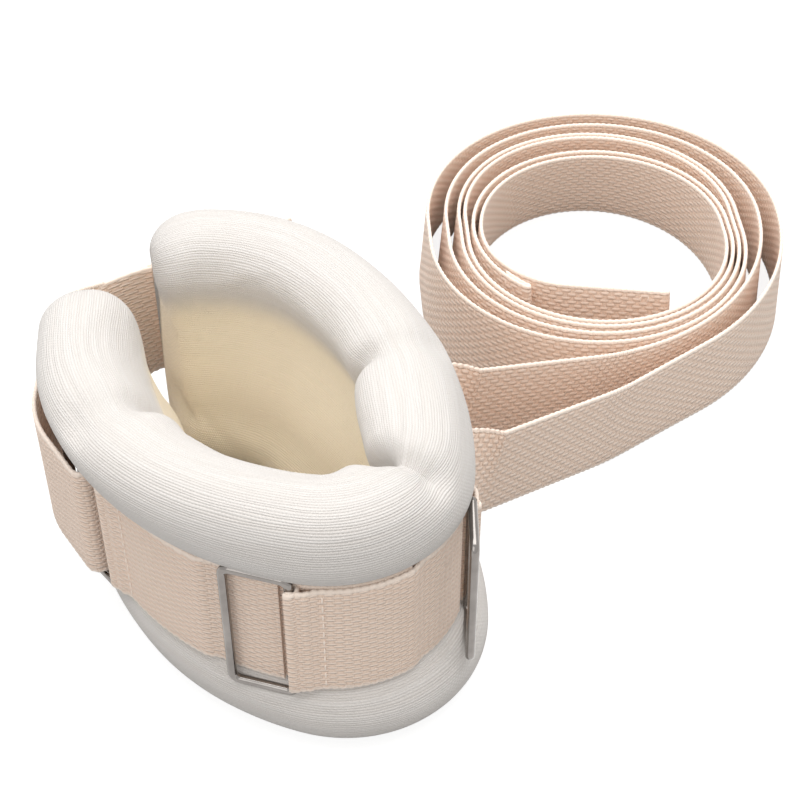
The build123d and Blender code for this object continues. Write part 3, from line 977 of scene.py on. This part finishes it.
def sewn_thread(name, node):
    """Rounded threads in one mesh, one for each block of a sewn row."""
    bpy.ops.mesh.primitive_uv_sphere_add(segments=10, ring_count=6, radius=1.0)
    ball = bpy.context.object
    ball.name = name
    points = np.array([tuple(vertex.co) for vertex in ball.data.vertices])[:, [2, 0, 1]]
    faces = [list(face.vertices) for face in ball.data.polygons]
    thick = cuff_settings().thread * MM / 2
    verts, polygons = [], []
    for centre, axes, half in stitch_blocks(node):
        polygons += [[corner + len(verts) for corner in face] for face in faces]
        verts += (centre + points * (half[0] * 1.1, thick, thick * 0.9) @ axes).tolist()
    mesh = bpy.data.meshes.new(name)
    mesh.from_pydata(verts, [], polygons)
    mesh.shade_smooth()
    ball.data = mesh
    return ball


class CUFF_OT_stitching(bpy.types.Operator):
    """Makes the sewn threads of the loops, boxes and hems"""

    bl_idname = "cuff.stitching"
    bl_label = "Stitching"

    def execute(self, context):
        for name, node in list(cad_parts.items()):
            if name.endswith("stitches"):
                thread = sewn_thread(name.replace("stitches", "thread"), node)
                finish_piece(thread, made_materials()["sewing_thread"], [name])
        return {"FINISHED"}


# ------------------------------------------------------------------ stage
# name, place, what it faces, side in metres, watts
LAMPS = [("overhead", (0.0, 0.25, 1.3), (0.0, 0.0, 0.0), 1.5, 18.0),
         ("front", (-0.7, -1.1, 0.9), (-0.03, -0.05, 0.05), 0.9, 3.0)]
FILL = 0.74                       # strength of the soft light from all round
FLOOR_TONES, FLOOR_GLOW = (0.30, 0.32), 0.82
LENS, SENSOR = 76.5, 36.0
CAMERA_AWAY = 0.5862              # metres from the target
CAMERA_HIGH, CAMERA_TURN = math.radians(44), math.radians(3.5)
CAMERA_TARGET = (-0.05814 - CENTRE[0] * MM, -0.0885 - CENTRE[1] * MM, 0.05)
TARGET_SHARE = Vector((-0.1375, -0.1375))  # the target's place, in widths of the view from its middle


class CUFF_OT_stage(bpy.types.Operator):
    """Sets the floor, the soft light and the camera"""

    bl_idname = "cuff.stage"
    bl_label = "Stage"

    def execute(self, context):
        scene = context.scene
        floor_and_world(scene)
        for lamp in LAMPS:
            soft_lamp(*lamp)
        data = bpy.data.cameras.new("camera")
        camera = bpy.data.objects.new("camera", data)
        scene.collection.objects.link(camera)
        data.lens, data.sensor_width = LENS, SENSOR
        scene.camera = camera
        camera.rotation_euler = (math.pi / 2 - CAMERA_HIGH, 0, -CAMERA_TURN)
        place_camera(camera, CAMERA_TARGET, CAMERA_AWAY)
        data.clip_start, data.clip_end = 0.05, 20.0
        scene.view_settings.view_transform = "Standard"
        return {"FINISHED"}


def place_camera(camera, target, distance):
    """Stands the camera so that a target keeps its place in the picture."""
    turn = camera.rotation_euler
    aim = Matrix.Rotation(turn.z, 4, "Z") @ Matrix.Rotation(turn.x, 4, "X")
    right, up, back = aim.col[0].xyz, aim.col[1].xyz, aim.col[2].xyz
    wide = distance * SENSOR / camera.data.lens
    aside = right * TARGET_SHARE.x * wide + up * TARGET_SHARE.y * wide
    camera.location = Vector(target) + back * distance - aside


def soft_lamp(name, place, target, size, watts):
    """A square soft light that faces a target."""
    data = bpy.data.lights.new(name, "AREA")
    data.shape, data.size, data.energy = "SQUARE", size, watts
    lamp = bpy.data.objects.new(name, data)
    bpy.context.scene.collection.objects.link(lamp)
    lamp.location = place
    lamp.rotation_euler = (Vector(target) - Vector(place)).to_track_quat("-Z", "Y").to_euler()


def floor_and_world(scene):
    """A wide pale floor under a white sky that only the camera, metal and glass see."""
    world = bpy.data.worlds.new("studio")
    world.use_nodes = True
    tree = world.node_tree
    tree.nodes.clear()
    any_signal = Signal(tree)
    seen = background_share(any_signal)
    fill = any_signal.node("ShaderNodeBackground", None, {"Color": (1, 0.985, 0.96, 1), "Strength": FILL})
    white = any_signal.node("ShaderNodeBackground", None, {"Color": (1, 1, 1, 1), "Strength": 1.0})
    mixed = any_signal.node("ShaderNodeMixShader", None, {0: seen, 1: fill, 2: white})
    output = tree.nodes.new("ShaderNodeOutputWorld")
    tree.links.new(mixed.socket, output.inputs[0])
    scene.world = world
    bpy.ops.mesh.primitive_plane_add(size=14, location=(0, 0, 0))
    floor = bpy.context.object
    floor.name = "floor"
    finish = Finish("pale_floor", Roughness=0.9)
    tone = finish.noise(finish.place(), 3.0)
    dark, pale = [(level, level, level, 1) for level in FLOOR_TONES]
    finish.connect("Base Color", finish.mixed(tone, dark, pale))
    glow = background_share(finish.any) * FLOOR_GLOW
    finish.shader.inputs["Emission Color"].default_value = (1, 1, 1, 1)
    finish.any.tree.links.new(glow.socket, finish.shader.inputs["Emission Strength"])
    floor.data.materials.append(finish.material)


def background_share(any_signal):
    """One for what the camera, metal and glass see of the background."""
    total = None
    for ray in ("Is Camera Ray", "Is Glossy Ray", "Is Transmission Ray"):
        seen = any_signal.node("ShaderNodeLightPath", None, None, ray)
        total = seen if total is None else total + seen
    return total.clipped()


class CUFF_PT_panel(bpy.types.Panel):
    """Lists the cuff's pieces in the sidebar"""

    bl_idname = "CUFF_PT_panel"
    bl_label = "Limb cuff"
    bl_space_type = "VIEW_3D"
    bl_region_type = "UI"
    bl_category = "Limb cuff"

    def draw(self, context):
        for operator in OPERATORS:
            self.layout.operator(operator.bl_idname)
        for name in CuffSettings.__annotations__:
            self.layout.prop(cuff_settings(), name)


OPERATORS = [CUFF_OT_pad, CUFF_OT_band, CUFF_OT_ring_loops, CUFF_OT_closing_strap, CUFF_OT_tie_straps,
             CUFF_OT_rings, CUFF_OT_stitching, CUFF_OT_stage]
CLASSES = [CuffSettings, *OPERATORS, CUFF_PT_panel]


def register():
    for each in CLASSES:
        bpy.utils.register_class(each)
    bpy.types.Scene.cuff_settings = PointerProperty(type=CuffSettings)


def unregister():
    del bpy.types.Scene.cuff_settings
    for each in reversed(CLASSES):
        bpy.utils.unregister_class(each)


def main():
    """Registers the add-on and builds the cuff."""
    register()
    bpy.ops.object.select_all(action="DESELECT")
    for operator in OPERATORS:
        group, name = operator.bl_idname.split(".")
        getattr(getattr(bpy.ops, group), name)()


if __name__ == "__main__":
    main()
